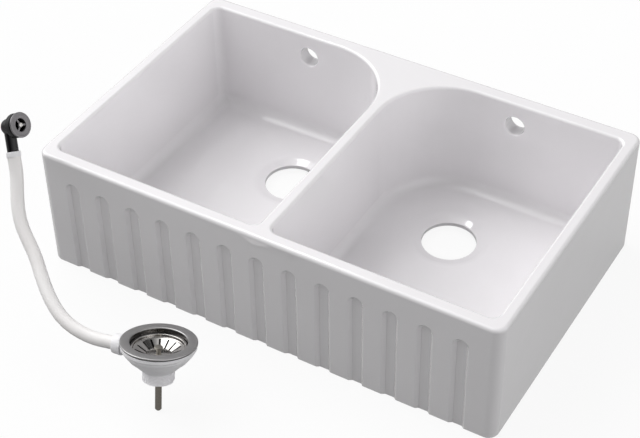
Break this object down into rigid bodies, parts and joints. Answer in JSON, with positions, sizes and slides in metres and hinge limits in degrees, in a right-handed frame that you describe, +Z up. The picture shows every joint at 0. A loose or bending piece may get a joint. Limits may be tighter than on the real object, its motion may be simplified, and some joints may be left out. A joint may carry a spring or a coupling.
{
  "type": "farmhouse apron front sink",
  "caption": "White fireclay farmhouse sink with two bowls, a fluted apron front and a rear tap deck, with its basket strainer waste and overflow hose standing beside it.",
  "frame": {"origin": "centre of the sink's flat underside", "axes": "+X to the right along the apron, +Y from the apron to the back, +Z up; the origin is on the middle plane between the two bowls"},
  "size_m": [0.822, 0.7131, 0.3164],
  "materials": {
    "fireclay": "gloss",
    "brushed_steel": "brushed",
    "bright_steel": "polished",
    "satin_steel": "satin",
    "brass": "turned",
    "black_rubber": "matt",
    "white_plastic": "satin",
    "black_plastic": "satin",
    "cream_plastic": "smooth"
  },
  "bodies": {
    "sink": {"sink_body": "fireclay", "strainer_cup": "brushed_steel", "flange_gasket": "black_rubber", "body_gasket": "black_rubber", "waste_body": "white_plastic", "hub_insert": "brass", "fixing_stud": "bright_steel", "stud_washer": "black_rubber", "union_nut": "white_plastic", "union_seal": "black_rubber", "hose_tail": "white_plastic", "overflow_hose": "cream_plastic", "hose_cuff": "white_plastic", "overflow_elbow": "black_plastic", "elbow_insert": "brass", "overflow_washer": "black_rubber", "overflow_rose": "satin_steel", "rose_screw": "bright_steel"},
    "basket": {"basket": "bright_steel", "basket_knob": "bright_steel", "basket_stem": "bright_steel", "basket_seal": "black_rubber", "stem_ring": "black_rubber"}
  },
  "joints": [
    {"name": "basket_lift", "type": "slide", "parent": "sink", "child": "basket", "axis": [-0.1057, 0.2904, 0.9511], "range_m": [0, 0.05]}
  ]
}
